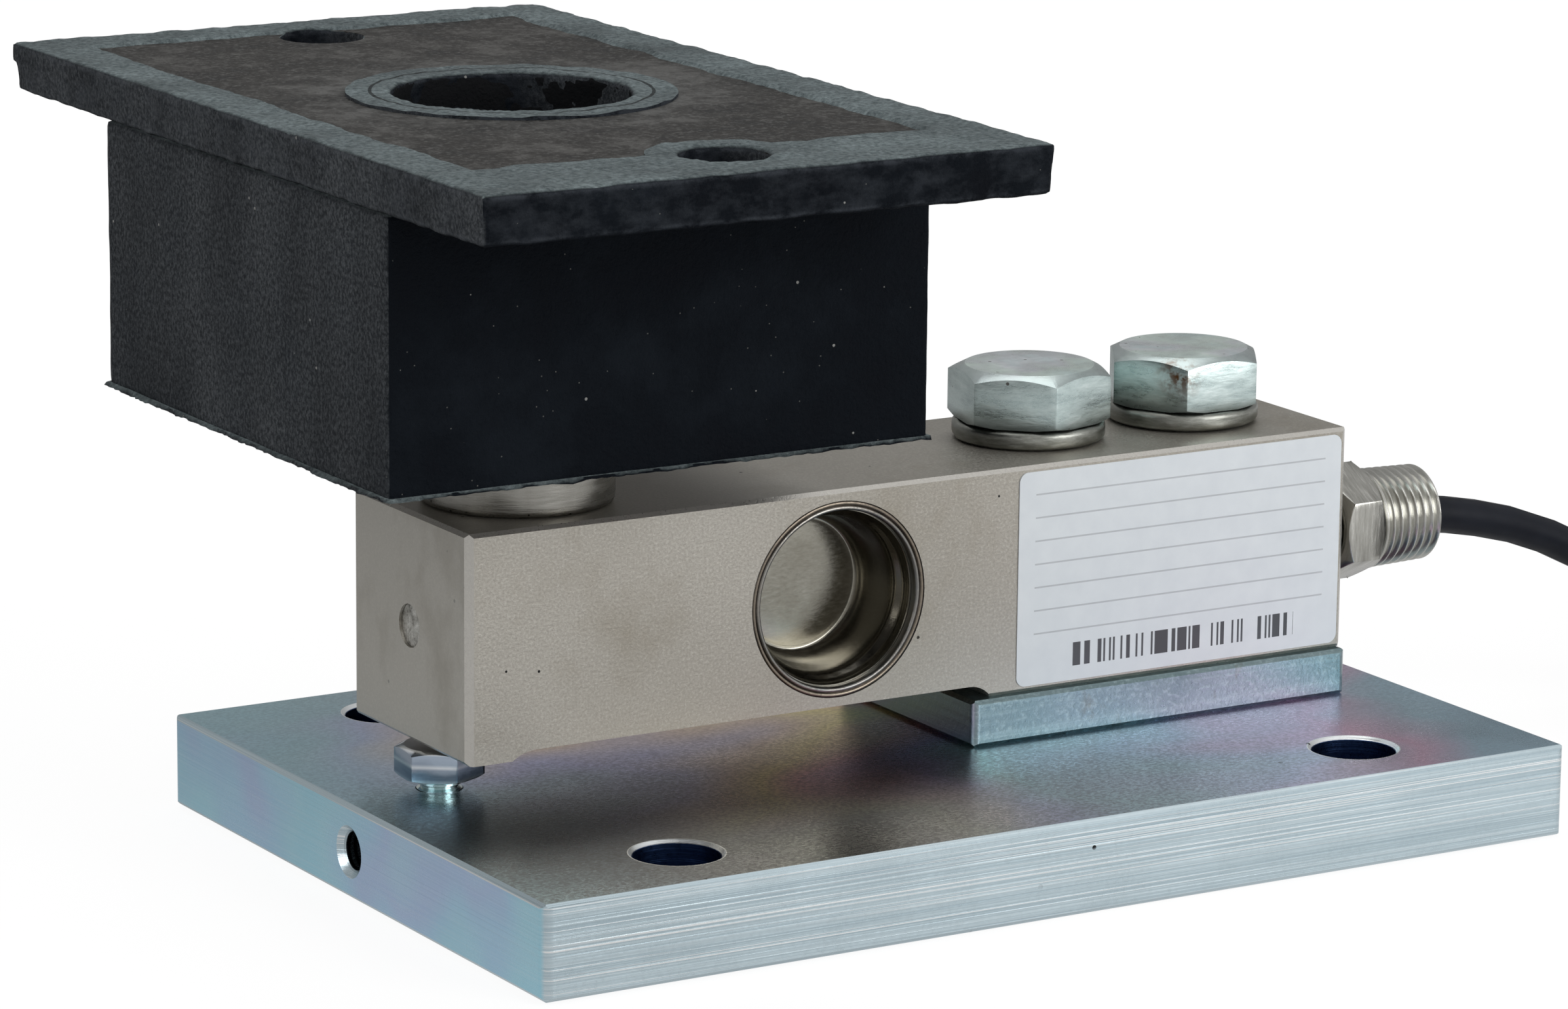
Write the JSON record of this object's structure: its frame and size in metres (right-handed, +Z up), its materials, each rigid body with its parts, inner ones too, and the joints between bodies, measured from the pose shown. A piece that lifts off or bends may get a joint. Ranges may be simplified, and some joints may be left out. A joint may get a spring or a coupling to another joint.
{
  "type": "load cell weighing module",
  "caption": "Shear-beam load cell bolted over a spacer to a base plate, with a rubber mount on its free end, a stop screw and a coiled signal cable.",
  "frame": {"origin": "centre of the base plate's underside", "axes": "+X along the plate towards the cable end, +Y towards the back, +Z up"},
  "size_m": [0.3057, 0.1839, 0.1007],
  "materials": {
    "zinc_plate": "blue-clear passivated zinc plating, brushed",
    "nickel": "matte warm grey nickel plating",
    "cup_steel": "pressed stainless sheet",
    "weld": "heat-tinted weld bead",
    "filler": "rough silvery filling",
    "bolt_zinc": "scuffed zinc plating",
    "washer": "dull galvanised steel",
    "pad_steel": "turned and ground steel",
    "rubber": "dusty moulded rubber",
    "insert_steel": "brown-black patinated steel",
    "inner_steel": "plain steel",
    "label": "white film, printed with plain rules and bars",
    "fitting_steel": "turned stainless steel",
    "cable": "matte cable sheath",
    "sleeve": "shrunk sleeve",
    "ties": "moulded nylon",
    "cores": "coloured core insulation",
    "gauge_foil": "amber film with metal grids",
    "board": "green wiring board"
  },
  "bodies": {
    "module": {"base_plate": "zinc_plate", "spacer_plate": "zinc_plate", "beam_body": "nickel", "end_plug": "filler", "front_cup": "cup_steel", "back_cup": "cup_steel", "front_weld_ring": "weld", "back_weld_ring": "weld", "front_gauge": "gauge_foil", "back_gauge": "gauge_foil", "wiring_board": "board", "inner_leads": "cores", "mounting_bolt_left": "bolt_zinc", "mounting_bolt_right": "bolt_zinc", "lock_washer_left": "washer", "lock_washer_right": "washer", "load_pad": "pad_steel", "rubber_block": "rubber", "bottom_insert": "inner_steel", "load_bolt": "bolt_zinc", "load_washer": "washer", "rating_label": "label", "cable_fitting": "fitting_steel", "cable_seal": "rubber", "cable_lead": "cable", "cable_coil": "cable", "cable_tie_1": "ties", "cable_tie_2": "ties", "cable_tie_3": "ties", "cable_tail": "cable", "end_sleeve": "sleeve", "stripped_cores": "cores"},
    "mount_top": {"rubber_flange": "rubber", "top_insert": "insert_steel"},
    "stop": {"stop_screw": "bolt_zinc"}
  },
  "joints": [
    {"name": "rubber_compression", "type": "slide", "parent": "module", "child": "mount_top", "axis": [0, 0, 1], "range_m": [-0.003, 0], "stiffness_N_per_m": 1000000, "deforming": ["rubber_block"]},
    {"name": "stop_adjust", "type": "slide", "parent": "module", "child": "stop", "axis": [0, 0, 1], "range_m": [-0.0017, 0.0009]}
  ]
}
